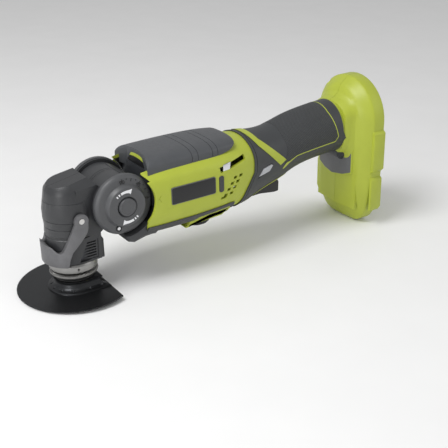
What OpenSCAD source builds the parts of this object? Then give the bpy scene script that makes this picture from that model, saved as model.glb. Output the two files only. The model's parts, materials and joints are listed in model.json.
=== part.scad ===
// Cordless oscillating multi-tool: tilting head, quick-release accessory clamp and a half-round saw blade.
// Frame: origin on the spindle axis at the accessory seat, +Z up the spindle, +X towards the battery end.

/* [Body] */
// Half width of the motor barrel
barrel_half_w = 32; // [31.5:0.5:32.5]
// Wall thickness of the clamshell
wall = 2.4; // [2.2:0.1:2.6]
// How far the soft grips stand proud of the clamshell
grip_proud = 1.0; // [0.8:0.1:1.2]

/* [Head] */
// Distance from the spindle axis back to the tilt axis
pivot_x = 34; // [34:0.5:34.5]
// Height of the tilt axis and of the motor axis above the accessory seat
axis_z = 56; // [56:0.5:56.5]
// Radius of the scale discs on the two sides of the tilt drum
disc_r = 23.4; // [23:0.1:23.6]
// Radius of the drum wall between the two discs
drum_r = 22.6; // [22.4:0.1:22.7]

/* [Spindle] */
// Radius of the spindle shaft
spindle_r = 6; // [5.8:0.1:6.2]
// Radius of the steel collars under the head
collar_r = 19.6; // [19:0.1:20]
// Throw of the eccentric that rocks the spindle
throw = 0.3; // [0.2:0.05:0.35]

/* [Blade] */
// Radius of the saw edge
blade_r = 44; // [42:1:46]
// Thickness of the blade steel
blade_t = 1.2; // [1:0.1:1.3]
// Distance from the spindle axis to the straight rear edge
blade_cut = 20.5; // [20:0.5:22]
// Drop from the accessory seat to the top of the cutting plane
blade_drop = 8.6; // [8:0.1:9]

/* [Hidden] */
running = 0.05;             // radial clearance of a running fit
pinion_teeth = 16;          // on each of the two pinions
crown_teeth = 48;           // on the crown gear that turns on the tilt axis
lime = "yellowgreen";
dark = "dimgray";
steel = "silver";

// ---- Helpers -------------------------------------------------------------------------------------

// A cylinder along +Y from y0 to y1
module y_rod(x, z, r, y0, y1, sides = 48)
    translate([x, y1, z]) rotate([90, 0, 0]) cylinder(r = r, h = y1 - y0, $fn = sides);

// A cylinder along +X at the motor axis, from x0 to x1
module x_rod(r, x0, x1, sides = 48)
    translate([x0, 0, axis_z]) rotate([0, 90, 0]) cylinder(r = r, h = x1 - x0, $fn = sides);

// A ring along +X at the motor axis
module x_ring(r_out, r_in, x0, x1)
    difference() {
        x_rod(r_out, x0, x1);
        x_rod(r_in, x0 - 1, x1 + 1);
    }

// A cylinder along +Z on the spindle axis
module z_rod(r, z0, z1) translate([0, 0, z0]) cylinder(r = r, h = z1 - z0, $fn = 72);

// A ring along +Z on the spindle axis
module z_ring(r_out, r_in, z0, z1)
    difference() {
        z_rod(r_out, z0, z1);
        z_rod(r_in, z0 - 1, z1 + 1);
    }

// A block from its low corner to its high corner
module block(low, high) translate(low) cube(high - low);

// A side-view outline of [x, z] points, pulled across from y0 to y1
module side_profile(points, y0, y1)
    translate([0, y1, 0]) rotate([90, 0, 0]) linear_extrude(height = y1 - y0) polygon(points);

// The part of its children on one side: -1 is left and 1 is right
module half(side)
    intersection() {
        children();
        block([-60, side < 0 ? -60 : 0, -60], [320, side < 0 ? 0 : 60, 140]);
    }

// Its children as one closed mesh
module one_mesh() minkowski() children();

function arc(x, z, r, a0, a1, n) =
    [for (i = [0 : n]) let (a = a0 + (a1 - a0) * i / n) [x + r * cos(a), z + r * sin(a)]];

// A coil spring along +Z, from z0 to z1
module coil(r, wire, z0, z1, turns) {
    sides = 5;
    per_turn = 12;
    rings = turns * per_turn;
    polyhedron(
        points = [
            for (k = [0 : rings], i = [0 : sides - 1])
                let (a = 360 * k / per_turn, b = 360 * i / sides, reach = r + wire * cos(b))
                    [reach * cos(a), reach * sin(a), z0 + wire + (z1 - z0 - 2 * wire) * k / rings + wire * sin(b)]
        ],
        faces = [
            [for (i = [0 : sides - 1]) i],
            for (k = [0 : rings - 1], i = [0 : sides - 1])
                let (j = (i + 1) % sides, a = k * sides + i, b = k * sides + j) [a + sides, b + sides, b, a],
            [for (i = [sides - 1 : -1 : 0]) rings * sides + i]
        ]
    );
}

// ---- Lofted body ---------------------------------------------------------------------------------
// A station is [x, half width, height above its centre, depth below it, centre height, exponents above and below].

barrel_front_x = 52;
handle_end_x = 262;
handle_z = axis_z + 12;     // height of the handle's axis at the battery socket
barrel_stations = [
    [barrel_front_x, barrel_half_w - 1.5, 25.4, 29.4, axis_z, 2.8, 3.4],
    [61, barrel_half_w - 0.5, 26.6, 30, axis_z, 2.8, 3.3],
    [90, barrel_half_w, 27, 30, axis_z, 2.8, 3.2],
    [120, barrel_half_w - 0.5, 26.6, 29.8, axis_z, 2.8, 3.2],
    [137, barrel_half_w - 2.6, 25.6, 29, axis_z, 2.7, 3],
    [149, barrel_half_w - 5.4, 24.6, 28, axis_z, 2.7, 2.9],
    [162, barrel_half_w - 8.4, 23, 26, axis_z, 2.6, 2.8],
    [175, barrel_half_w - 10.6, 22, 24.4, axis_z, 2.5, 2.6],
    [188, barrel_half_w - 11.8, 22.4, 23, axis_z + 2, 2.4, 2.5],
    [199, barrel_half_w - 12.4, 22.4, 22, axis_z + 5.5, 2.4, 2.4],
    [212, barrel_half_w - 12.4, 22, 21.6, axis_z + 8.5, 2.4, 2.4],
    [232, barrel_half_w - 12, 21.8, 21.4, axis_z + 10.6, 2.4, 2.4],
    [handle_end_x, barrel_half_w - 11, 22.4, 22, axis_z + 12, 2.4, 2.4]
];
foot_front_x = 240;
foot_rear_x = 281;
foot_stations = [
    [254, barrel_half_w - 9.5, 25, 24, axis_z + 11.4, 2.4, 2.6],
    [258, barrel_half_w - 5.4, 38, 50, axis_z + 3, 2.3, 3.4],
    [261, barrel_half_w - 2.6, 45.6, 66, axis_z, 2.2, 4.2],
    [267, barrel_half_w + 2.6, 50.6, 76.6, axis_z, 2.2, 4.6],
    [274, barrel_half_w + 3.6, 52.4, 79.4, axis_z, 2.2, 4.8],
    [foot_rear_x, barrel_half_w + 3.6, 52.4, 79.4, axis_z, 2.2, 4.8]
];

// Signed power that squares a circle towards a rounded rectangle
function squared(v, n) = sign(v) * pow(abs(v), 2 / n);

function section(s, inset, sides) = [
    for (i = [0 : sides - 1])
        let (a = 360 * i / sides, up = sin(a) >= 0, n = up ? s[5] : s[6], h = (up ? s[2] : s[3]) - inset)
            [s[0], (s[1] - inset) * squared(cos(a), n), s[4] + h * squared(sin(a), n)]
];

module loft(list, inset, sides) {
    rings = len(list);
    polyhedron(
        points = [for (s = list) each section(s, inset, sides)],
        faces = [
            [for (i = [0 : sides - 1]) i],
            for (k = [0 : rings - 2], i = [0 : sides - 1])
                let (j = (i + 1) % sides, a = k * sides + i, b = k * sides + j)
                    [a + sides, b + sides, b, a],
            [for (i = [sides - 1 : -1 : 0]) (rings - 1) * sides + i]
        ]
    );
}

module barrel_form(inset = 0) loft(barrel_stations, inset, 36);
module foot_form(inset = 0) loft(foot_stations, inset, 36);

// ---- Housing -------------------------------------------------------------------------------------

screw_spots = [[66.5, 77.4], [67, 31.6], [134, 76.4], [139.5, 33.4], [174, 70.5], [214, 57], [268, 97], [268, -12]];
drum_gap_r = 24.6;          // clearance cut around the discs
lip_gap_r = 22.2;           // front edge of the side walls, which overhang the discs
head_swing_x = 60;          // the head's top swings up to just short of this
socket_half_y = 12;         // square passage in the handle for the battery's stem
socket_half_z = 12;
socket_x = 232;
terminal_half = 9;          // half width and half height of the terminal block
contact_y = 6;              // distance of each battery contact from the middle
bay_floor_x = 275;
bay_wall = 3.2;
yoke_x = 64.5;              // front face of the motor can
motor_rear_x = 136;
dial_x = 109;
dial_r = 12;
trigger_pin = [157, 31.6];
button_face_y = barrel_half_w - 5.6;
button_outline = [[153.4, 48.3], [159.4, 55.5], [170.4, 56.9], [166.4, 51.3]];
badge_box = [69.5, 109.2, 49, 63];      // low x, high x, low z, high z

barrel_grip_outline = concat([[50, 78.6], [120, 78.6]], arc(120, 95, 16.4, -90, -20, 6), [[135.4, 100], [50, 100]]);
rear_line = [[151, 100], [150, 78], [150.6, 65], [149.6, 55], [142, 44], [137, 35], [133.2, 28.6], [131, 20]];
handle_grip_outline = concat(rear_line, [[262, 20], [262, 58], [252, 62], [247, 68], [245.6, 77], [244, 100]]);
slash_outline = [[148, 92], [158.6, 73.6], [179.4, 53], [185.6, 56.4], [162, 77.4], [155, 92]];
trigger_well = [[152, 10], [152, 34.2], [190.5, 40], [190.5, 10]];

module vent_cuts(depth) {
    side_profile([[114, 68], [114.8, 63.4], [141, 67.8], [140.6, 72.2]], -40, depth);
    for (row = [0 : 3], col = [0 : 1])
        let (x = 134.4 - 3.3 * row - 5.7 * col, z = 57.4 - 4.1 * row - 0.4 * col)
            side_profile([[x - 2.1, z - 1.1], [x + 1.3, z - 1.1], [x + 2.2, z + 1.1], [x - 1.2, z + 1.1]], -40, depth);
    side_profile([[113.6, 42.2], [119.4, 42.6], [120.4, 44.4], [114.6, 44]], -40, depth);
}

module front_clearance(extra = 0) {
    y_rod(pivot_x, axis_z, drum_gap_r + extra, -28.6, 28.6, 72);
    y_rod(pivot_x, axis_z, lip_gap_r + extra, -50, 50, 72);
    // the head's top swings up here
    side_profile([[30, 60], [head_swing_x - 2, 60], [head_swing_x - 2, 76], [head_swing_x + 1, 92], [30, 92]], -22, 22);
}

module housing_hollow() {
    intersection() {
        barrel_form(wall);
        block([0, -60, -60], [socket_x - 3, 60, 140]);
    }
    // inside the foot, in front of the battery bay
    difference() {
        intersection() {
            foot_form(wall);
            block([257, -60, -60], [bay_floor_x - bay_wall, 60, 140]);
        }
        block([240, -socket_half_y - wall, handle_z - socket_half_z - wall],
              [290, socket_half_y + wall, handle_z + socket_half_z + wall]);
    }
    // shallow battery bay in the rear face
    intersection() {
        foot_form(bay_wall);
        block([bay_floor_x, -60, -60], [foot_rear_x + 5, 60, 140]);
    }
    block([socket_x, -socket_half_y, handle_z - socket_half_z],
          [foot_rear_x + 5, socket_half_y, handle_z + socket_half_z]);
    // window for the terminal block in the socket's front wall
    block([socket_x - 5, -terminal_half - 0.1, handle_z - terminal_half - 0.1],
          [socket_x + 1, terminal_half + 0.1, handle_z + terminal_half + 0.1]);
}

module housing(side)
    one_mesh()
        half(side)
            difference() {
                union() {
                    difference() {
                        union() {
                            barrel_form();
                            foot_form();
                            // side pads of the foot
                            intersection() {
                                foot_form(-2.4);
                                block([266, -60, 33], [foot_rear_x, 60, 65]);
                            }
                            // bar that shows through the soft skin
                            intersection() {
                                barrel_form(-grip_proud - 0.2);
                                side_profile(slash_outline, -40, 40);
                            }
                        }
                        housing_hollow();
                    }
                    // screw posts
                    for (s = screw_spots)
                        intersection() {
                            union() {
                                barrel_form(0.6);
                                foot_form(0.6);
                            }
                            y_rod(s[0], s[1], 3.4, -36, 36, 20);
                        }
                }
                front_clearance();
                for (s = screw_spots) {
                    y_rod(s[0], s[1], 1.6, -17, 40, 12);
                    y_rod(s[0], s[1], 3, 13, 40, 16);
                }
                x_rod(19.3, barrel_front_x, motor_rear_x + 12, 36);
                vent_cuts(40);
                translate([dial_x, 0, 10]) cylinder(r = dial_r + 0.8, h = 24, $fn = 36);
                side_profile(trigger_well, -9, 9);
                side_profile(button_outline, -40, 40);
                block([badge_box[0], -40, badge_box[2]], [badge_box[1], 0.8 - barrel_half_w, badge_box[3]]);
                block([badge_box[0], barrel_half_w - 0.8, badge_box[2]], [badge_box[1], 40, badge_box[3]]);
            }

// The shell's halves end where the foot begins
module housing_part(side, x0, x1)
    intersection() {
        housing(side);
        block([x0, -60, -60], [x1, 60, 140]);
    }

module left_housing() color(lime) housing_part(-1, 0, foot_front_x);
module right_housing() color(lime) housing_part(1, 0, foot_front_x);
module left_foot() color(lime) housing_part(-1, foot_front_x, foot_rear_x + 5);
module right_foot() color(lime) housing_part(1, foot_front_x, foot_rear_x + 5);

module skin(side, outline, x0, x1, proud = grip_proud)
    one_mesh()
        half(side)
            difference() {
                intersection() {
                    barrel_form(-proud);
                    side_profile(outline, -40, 40);
                    block([x0, -60, -60], [x1, 60, 140]);
                }
                barrel_form(-0.02);
                foot_form(-0.02);
                front_clearance(0.3);
                side_profile(slash_outline, -40, 40);
                side_profile(trigger_well, -9.4, 9.4);
                side_profile(button_outline, -40, 40);
                for (s = screw_spots) y_rod(s[0], s[1], 3, 13, 40, 16);
            }

module left_barrel_grip() color("gray") skin(-1, barrel_grip_outline, barrel_front_x + 0.3, 140, 2.2);
module right_barrel_grip() color("gray") skin(1, barrel_grip_outline, barrel_front_x + 0.3, 140, 2.2);
module left_handle_grip() color(dark) skin(-1, handle_grip_outline, 128, 253);
module right_handle_grip() color(dark) skin(1, handle_grip_outline, 128, 253);

module chin_guard()
    color(dark)
        one_mesh()
            difference() {
                union() {
                    // jaw under the tilt drum
                    side_profile([[30, 31], [36.6, 23.4], [52.4, 26.4], [54, 25.2], [60, 25.2], [60, 44], [40, 40]], -23, 23);
                    // belt along the lower edge of the barrel
                    intersection() {
                        barrel_form(-grip_proud);
                        side_profile([[50, 35], [88, 33.6], [88, 20], [50, 20]], -40, 40);
                        block([barrel_front_x + 0.2, -60, -60], [88, 60, 140]);
                    }
                }
                barrel_form(-0.02);
                front_clearance(0.2);
            }

// Lip round the speed dial
module dial_guard()
    color(lime)
        difference() {
            side_profile([[88.4, 25.4], [92, 23], [121, 23], [127, 26.2], [127, 28.4], [88.4, 28.4]], -21, 21);
            translate([dial_x, 0, 10]) cylinder(r = dial_r + 0.8, h = 24, $fn = 48);
            one_mesh() barrel_form(-0.02);
        }

module badge_plates()
    color("black")
        for (s = [-1, 1])
            translate([(badge_box[0] + badge_box[1]) / 2, s * (barrel_half_w - 0.1), (badge_box[2] + badge_box[3]) / 2])
                rotate([90, 0, 0])
                    linear_extrude(height = 1.2, center = true)
                        square([badge_box[1] - badge_box[0] - 0.4, badge_box[3] - badge_box[2] - 0.4], center = true);

module housing_screws()
    color(steel)
        for (s = screw_spots) {
            y_rod(s[0], s[1], 1.5, -16, 13.02, 24);
            difference() {
                y_rod(s[0], s[1], 2.7, 13.02, 15, 24);
                translate([s[0], 15.5, s[1]]) cube([3, 2, 0.7], center = true);
                translate([s[0], 15.5, s[1]]) cube([0.7, 2, 3], center = true);
            }
        }

// ---- Motor and gears -----------------------------------------------------------------------------

shaft_r = 2;
crown_r = 12.9;             // radius at the middle of the crown gear's teeth
tooth_face = 3.4;
module_mm = 2 * crown_r / crown_teeth;
pinion_r = pinion_teeth * module_mm / 2;
pinion_mid_motor = pivot_x + crown_r;
pinion_mid_head = pivot_x - crown_r;
bearing_r = 7;
bearing_x = 58;             // front face of the front motor bearing
trunnion_r = 8;
cheek_y = 13;               // inner face of a yoke cheek
cheek_t = 4.4;
drum_cover_r = 20.2;
drum_cover_half = 17.6;

module pivot_yoke()
    color("darkslategray")
        difference() {
            union() {
                for (s = [-1, 1])
                    y_rod(pivot_x, axis_z, 18.8, s < 0 ? -cheek_y - cheek_t : cheek_y, s < 0 ? -cheek_y : cheek_y + cheek_t, 72);
                block([49, -cheek_y - 2, axis_z - 7.6], [59, cheek_y + 2, axis_z + 6.6]);
                block([58, -24, axis_z - 19], [yoke_x, 24, axis_z + 18.6]);
            }
            // trunnion bores
            y_rod(pivot_x, axis_z, trunnion_r + running, -30, 30, 72);
            // room for the crown gear and its pinion
            y_rod(pivot_x, axis_z, 16.6, -cheek_y, cheek_y, 72);
            x_rod(5.4, 40, bearing_x - 1);
            x_rod(bearing_r, bearing_x, yoke_x + 1);
            x_rod(5.4, bearing_x - 2, bearing_x + 1);
        }

// Curved cover over the gears: the head's covers slide round it as the head tilts
module drum_cover()
    color(dark)
        difference() {
            union() {
                y_rod(pivot_x, axis_z, drum_cover_r, -drum_cover_half, drum_cover_half, 96);
                // raised panel on its upper rear
                intersection() {
                    y_rod(pivot_x, axis_z, drum_cover_r + 0.4, -13, 13, 96);
                    side_profile(concat([[pivot_x, axis_z]], arc(pivot_x, axis_z, 30, 42, 76, 6)), -13, 13);
                }
            }
            y_rod(pivot_x, axis_z, drum_cover_r - 1.2, -30, 30, 96);
            // the yoke's neck comes in here
            block([pivot_x + 5, -30, axis_z - 7.8], [pivot_x + 30, 30, axis_z + 6.8]);
            // slot that the head's drive shaft travels along
            side_profile(concat([[pivot_x, axis_z]], arc(pivot_x, axis_z, 30, 82, 188, 12)), -2.8, 2.8);
        }

module motor_can()
    color(steel)
        difference() {
            x_rod(18.6, yoke_x, 128, 96);
            x_rod(17.2, yoke_x + 2, 129, 96);
            x_rod(8, yoke_x - 1, yoke_x + 3);
        }

module motor_magnets()
    color("darkgray")
        for (a = [0, 180])
            translate([0, 0, axis_z]) rotate([a, 0, 0]) translate([0, 0, -axis_z])
                difference() {
                    x_ring(17.18, 13.8, 80, 114);
                    block([70, -30, axis_z - 30], [120, 30, axis_z + 5]);
                }

module motor_end_cap()
    color("black")
        difference() {
            union() {
                x_rod(17.1, 125, 128.02);
                x_rod(18.6, 128.02, 132);
                x_rod(9.6, 132, motor_rear_x);
            }
            x_rod(13.4, 124, 129.6);
            x_rod(3.4, 120, 140);
            x_rod(bearing_r, 131, motor_rear_x - 0.8);
        }

module motor_brushes()
    color("black")
        for (s = [-1, 1])
            block([118.4, s < 0 ? -13 : 6.2, axis_z - 2], [123.6, s < 0 ? -6.2 : 13, axis_z + 2]);

module bearing_along_x(x0, r_out, r_in, w)
    color(steel)
        difference() {
            x_ring(r_out, r_in, x0, x0 + w);
            for (side = [-0.5, w - 0.5]) x_ring(r_out - 1.4, r_in + 1.2, x0 + side, x0 + side + 1);
        }

module front_motor_bearing() bearing_along_x(bearing_x, bearing_r, shaft_r + running, 5);
module rear_motor_bearing() bearing_along_x(131, bearing_r, shaft_r + running, 4.2);

module rotor_shaft() color(steel) x_rod(shaft_r, pinion_mid_motor - tooth_face / 2 - 0.4, 138);

module rotor_core()
    color("peru")
        difference() {
            x_rod(13, 84, 111, 72);
            x_rod(shaft_r, 80, 115);
            for (a = [0 : 36 : 324])
                translate([0, 0, axis_z]) rotate([a, 0, 0]) translate([0, 0, -axis_z])
                    block([80, -0.7, axis_z + 7], [115, 0.7, axis_z + 15]);
        }

module commutator() color("peru") x_ring(6, shaft_r, 114, 125.5);

module motor_fan()
    color("black") {
        x_ring(5, shaft_r, 69.5, 77);
        for (a = [0 : 40 : 320])
            translate([0, 0, axis_z]) rotate([a, 0, 0])
                translate([70.6, -0.6, 4.7]) cube([6, 1.2, 11]);
        x_ring(16, 4.9, 69.5, 70.9);
    }

// A pinion along +X with its middle at x
module pinion(x, bore_r, turn = 0) {
    outer = pinion_r + 0.8 * module_mm;
    root = pinion_r - 1.15 * module_mm;
    difference() {
        translate([x - tooth_face / 2, 0, axis_z]) rotate([turn, 0, 0]) rotate([90, 0, 90])
            linear_extrude(height = tooth_face)
                polygon([
                    for (i = [0 : pinion_teeth - 1], p = [[root, -6.6], [outer, -2.6], [outer, 2.6], [root, 6.6]])
                        let (a = 360 * i / pinion_teeth + p[1]) p[0] * [cos(a), sin(a)]
                ]);
        x_rod(bore_r, x - tooth_face, x + tooth_face);
    }
}

module motor_pinion() color(steel) pinion(pinion_mid_motor, shaft_r);

// Crown gear: its teeth face +Y and mesh with both pinions at their -Y side
module crown_gear()
    color(steel)
        translate([pivot_x, 0, axis_z]) rotate([-90, 0, 0]) {
            root_y = -pinion_r - 1.15 * module_mm;
            difference() {
                translate([0, 0, root_y - 3]) cylinder(r = crown_r + tooth_face / 2 + 0.7, h = 3, $fn = 96);
                translate([0, 0, root_y - 4]) cylinder(r = 3, h = 6, $fn = 48);
            }
            for (i = [0 : crown_teeth - 1])
                rotate([0, 0, 360 * (i + 0.5) / crown_teeth])
                    translate([crown_r - tooth_face / 2, 0, root_y])
                        rotate([90, 0, 90])
                            linear_extrude(height = tooth_face)
                                polygon([[-0.42, -0.3], [0.42, -0.3], [0.42, 0], [0.2, 1.9 * module_mm], [-0.2, 1.9 * module_mm], [-0.42, 0]]);
        }

module crown_axle() color(steel) y_rod(pivot_x, axis_z, 3, -16.6, -2, 48);

// ---- Electrics -----------------------------------------------------------------------------------

module speed_board()
    color("darkgreen") {
        block([94, -15, 33.4], [128, 15, 35]);
        block([98, -11, 35], [106, -5, 36.6]);
        block([114, 3, 35], [124, 11, 36.6]);
        translate([dial_x, 0, 30.4]) cylinder(r = 4, h = 3.02, $fn = 32);
    }

module speed_dial()
    color("black")
        difference() {
            union() {
                translate([dial_x, 0, 14.6]) cylinder(r = dial_r - 1, h = 1, $fn = 72);
                translate([dial_x, 0, 15.6]) cylinder(r = dial_r, h = 6.2, $fn = 72);
                translate([dial_x, 0, 21.8]) cylinder(r = 3, h = 8.4, $fn = 32);
            }
            for (a = [0 : 12 : 348])
                translate([dial_x, 0, 0]) rotate([0, 0, a]) translate([dial_r, 0, 13]) cylinder(r = 0.5, h = 10, $fn = 16);
        }

module switch_body()
    color("black") {
        block([160, -8, 42], [186, 8, 47.2]);
        block([164, -3, 40.2], [168, 3, 42]);
    }

module trigger()
    color("black")
        difference() {
            side_profile([[154, 29], [155, 24.4], [170, 24.6], [184, 22.6], [188.6, 23], [189, 31.6], [186, 36],
                          [174, 36.6], [160, 34], [155.4, 33.2]], -8, 8);
            y_rod(trigger_pin[0], trigger_pin[1], 1.2, -20, 20, 24);
            // pocket for the return spring
            translate([178, 0, 31]) cylinder(r = 3.4, h = 20, $fn = 32);
        }

module trigger_spring() color(steel) translate([178, 0, 0]) coil(2.4, 0.5, 31.2, 41.8, 5);

module lock_button()
    color(steel)
        side_profile([[154.3, 48.8], [159.8, 55.1], [169.6, 56.4], [166, 51.7]], -button_face_y, -16);

module terminal_block()
    color("black")
        difference() {
            block([socket_x - 10, -terminal_half, handle_z - terminal_half],
                  [socket_x - 0.4, terminal_half, handle_z + terminal_half]);
            for (y = [-contact_y, contact_y])
                block([socket_x - 11, y - 0.5, handle_z - 6], [socket_x + 1, y + 0.5, handle_z + 6]);
        }

module battery_terminals()
    color("gold")
        for (y = [-contact_y, contact_y])
            block([socket_x - 12, y - 0.45, handle_z - 5.6], [socket_x + 8, y + 0.45, handle_z + 5.6]);

// ---- Tilting head --------------------------------------------------------------------------------

head_bottom = 15;
screw_ring = 18.2;          // distance of the disc screws from the tilt axis
disc_screw_angles = [250];
head_profile = [
    [0, head_bottom], [17.4, head_bottom], [18.8, head_bottom + 1.6], [19, 38], [18.6, 43.4], [19.2, 50], [19.2, 57],
    [17.9, 63.4], [17, 69], [15.6, 73.6], [13, 75.4], [0, 77.4]
];
pin_z = 51.1;
drum_wall = 1.8;

module head_outside() {
    rotate_extrude($fn = 72) polygon(head_profile);
    // shoulder from the head back to the drum, and the narrower top over it
    side_profile([[-2, 38], [-2, 74.6], [14, 76.4], [22, 75], [34, 73], [34, 38], [20, 36.4], [14, 28], [2, 28]], -18.4, 18.4);
    side_profile([[-2, 70], [-2, 77.4], [10, 78.8], [16, 78.2], [24, 76], [34, 73], [34, 70]], -15, 15);
    // rear spine below the drum
    side_profile([[12, 44], [12, 28], [15, 15.4], [20.8, 15.4], [20.8, 36.4], [30, 44]], -12, 12);
    y_rod(pivot_x, axis_z, drum_r, -20, 20, 96);
}

module head_inside() {
    y_rod(pivot_x, axis_z, 20.9, -18, 18, 96);
    rotate_extrude($fn = 72) polygon([[0, head_bottom - 1], [16.6, head_bottom - 1], [16.6, 60], [13, 72.6], [0, 75]]);
    side_profile([[0, 40], [0, 75], [12, 76.6], [20, 73.6], [34, 71], [34, 41]], -16.2, 16.2);
    // opening for the yoke, wide enough for the whole tilt
    side_profile(concat([[pivot_x, axis_z]], arc(pivot_x, axis_z, 40, -26, 134, 12)), -18, 18);
}

module head_cover(side)
    half(side)
        difference() {
            head_outside();
            head_inside();
            y_rod(pivot_x, axis_z, trunnion_r + 3, -30, 30, 72);
            for (s = [-1, 1]) y_rod(0, pin_z, 1.6, -30, 30, 24);
            for (a = disc_screw_angles)
                y_rod(pivot_x + screw_ring * cos(a), axis_z + screw_ring * sin(a), 1.3, -30, 30, 16);
        }

module left_head_cover() color(dark) head_cover(-1);
module right_head_cover() color(dark) head_cover(1);

// A scale disc for the left side; its trunnion runs in the yoke's cheek
module scale_disc()
    difference() {
        translate([pivot_x, 0, axis_z]) rotate([90, 0, 0]) {
            translate([0, 0, 20]) cylinder(r = disc_r, h = 2.6, $fn = 120);
            translate([0, 0, 22.6]) cylinder(r1 = disc_r, r2 = disc_r - 1.6, h = 2.5, $fn = 120);
            translate([0, 0, 25.1]) cylinder(r1 = 16.8, r2 = 14.8, h = 4.2, $fn = 96);
            translate([0, 0, cheek_y + 0.6]) cylinder(r = trunnion_r, h = 6.4, $fn = 72);
        }
        // stepped bore for the button
        y_rod(pivot_x, axis_z, 5, -26, -10, 48);
        y_rod(pivot_x, axis_z, 7.1, -40, -23, 72);
        for (a = disc_screw_angles)
            y_rod(pivot_x + screw_ring * cos(a), axis_z + screw_ring * sin(a), 1.3, -30, -10, 16);
    }

module left_scale_disc() color(dark) scale_disc();
module right_scale_disc() color(dark) mirror([0, 1, 0]) scale_disc();

module disc_screws()
    color(steel)
        for (s = [-1, 1], a = disc_screw_angles)
            y_rod(pivot_x + screw_ring * cos(a), axis_z + screw_ring * sin(a), 1.25, s < 0 ? -25.6 : 18.4, s < 0 ? -18.4 : 25.6, 24);

module release_button()
    color(dark)
        union() {
            y_rod(pivot_x, axis_z, 7, -30.4, -26.4, 72);
            y_rod(pivot_x, axis_z, 2.6, -26.5, -19.6, 48);
        }

module release_spring()
    color(steel)
        translate([pivot_x, 0, axis_z]) rotate([90, 0, 0]) coil(3.8, 0.4, 22.95, 26.4, 3);

web_x = 9.4;                // front of the casting's web, behind the fork
bridge_half = 6.4;

// Metal casting inside the head: it holds the spindle bearings and the shaft's bearing
module gear_case()
    color("darkslategray")
        difference() {
            union() {
                z_ring(16.4, 9, 17, 22);
                z_ring(16.4, 9, 31, 35.6);
                z_ring(16.4, 14.6, 21, 32);
                // web that carries the shaft's bearing, on a bridge between the fork's arms
                block([web_x, -11, 42], [web_x + 3.6, 11, axis_z + 10]);
                block([web_x, -bridge_half, 35.59], [web_x + 3.6, bridge_half, 42.02]);
            }
            x_rod(bearing_r, web_x - 1, web_x + 2.8);
            x_rod(4.6, web_x + 2, web_x + 5);
        }

module z_bearing(z0, r_out, r_in, w)
    difference() {
        z_ring(r_out, r_in, z0, z0 + w);
        for (side = [-0.5, w - 0.5]) z_ring(r_out - 0.9, r_in + 0.8, z0 + side, z0 + side + 1);
    }

module spindle_bearings()
    color(steel) {
        z_bearing(17.4, 9, spindle_r + running, 4.4);
        z_bearing(31, 9, spindle_r + running, 4.4);
    }

ecc_mid = 4.6;              // middle of the eccentric bearing along the shaft
module eccentric_shaft()
    color(steel)
        union() {
            x_rod(shaft_r, ecc_mid + 2.4, pinion_mid_head + tooth_face / 2 + 0.4);
            translate([0, throw, 0]) x_rod(shaft_r + 1, ecc_mid - 2.5, ecc_mid + 2.6);
        }

module eccentric_pinion() color(steel) pinion(pinion_mid_head, shaft_r);

module eccentric_bearing() translate([0, throw, 0]) bearing_along_x(ecc_mid - 2.5, 6.5, shaft_r + 1, 5);

module shaft_bearing() bearing_along_x(web_x - 1, bearing_r, shaft_r + running, 3.8);

module rocker_fork()
    color("darkgray")
        difference() {
            union() {
                z_rod(9, 36.4, 42);
                for (s = [-1, 1])
                    block([ecc_mid - 3.2, s < 0 ? -10.4 : 7.4, 38], [ecc_mid + 2.2, s < 0 ? -7.4 : 10.4, axis_z + 4]);
                block([0, -10.4, 36.4], [ecc_mid - 1.4, 10.4, 42]);
            }
            z_rod(spindle_r, 30, 50);
        }

module nose_collar() color(steel) z_ring(collar_r, 9.1, 8, 14.6);

module spindle()
    color(steel)
        difference() {
            union() {
                z_rod(spindle_r, 4, 44);
                z_rod(8.4, 1.5, 15);
            }
            z_rod(3.1, -10, 30);
            z_rod(5, 14, 30.6);
        }

module clamp_flange()
    color(steel)
        difference() {
            union() {
                z_rod(collar_r, 4.1, 6.5);
                translate([0, 0, 1.5]) cylinder(r1 = collar_r - 2.4, r2 = collar_r, h = 2.61, $fn = 96);
                z_rod(16, 0, 1.6);
            }
            z_rod(8.4, -5, 20);
        }

module clamp_bolt()
    color(steel)
        difference() {
            union() {
                z_rod(2.9, -3.4, 28.5);
                translate([0, 0, -3.5]) cylinder(r1 = 7, r2 = 8.2, h = 2.1, $fn = 48);
                z_rod(4.4, 24.4, 28.5);
            }
            translate([0, 0, -5]) cylinder(r = 2, h = 3, $fn = 6);
        }

module clamp_spring() color(steel) coil(3.9, 0.45, 14.2, 24.3, 6);

// ---- Blade ---------------------------------------------------------------------------------------

hub_r = 15.6;
teeth_count = 84;
tooth_depth = 1.1;

module blade_plate() {
    cut_angle = acos(blade_cut / blade_r);
    linear_extrude(height = blade_t)
        polygon([
            for (i = [0 : 2 * teeth_count])
                let (a = cut_angle + (360 - 2 * cut_angle) * i / (2 * teeth_count), r = blade_r - (i % 2 == 0 ? tooth_depth : 0))
                    [r * cos(a), r * sin(a)]
        ]);
}

module hub_outline(r) {
    circle(r = r, $fn = 64);
    translate([0, -r]) square([blade_cut, 2 * r]);
}

module blade()
    color("darkslategray")
        difference() {
            union() {
                translate([0, 0, -blade_drop - blade_t]) blade_plate();
                translate([0, 0, -blade_drop - 0.5]) linear_extrude(height = blade_drop + 0.49) hub_outline(hub_r);
                translate([0, 0, -blade_drop - 0.5]) linear_extrude(height = 2) hub_outline(hub_r + 3);
            }
            translate([0, 0, -blade_drop - blade_t - 1])
                linear_extrude(height = blade_drop + blade_t + 1 - 1.3)
                    intersection() {
                        hub_outline(hub_r - 1.3);
                        square([2 * blade_cut - 3, 60], center = true);
                    }
            z_rod(4, -20, 5);
        }

// ---- Quick-release lever -------------------------------------------------------------------------

lever_in = 20.6;            // inner radius of the lever's band
lever_out = 22.8;
lever_boss_r = 5.4;

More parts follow.
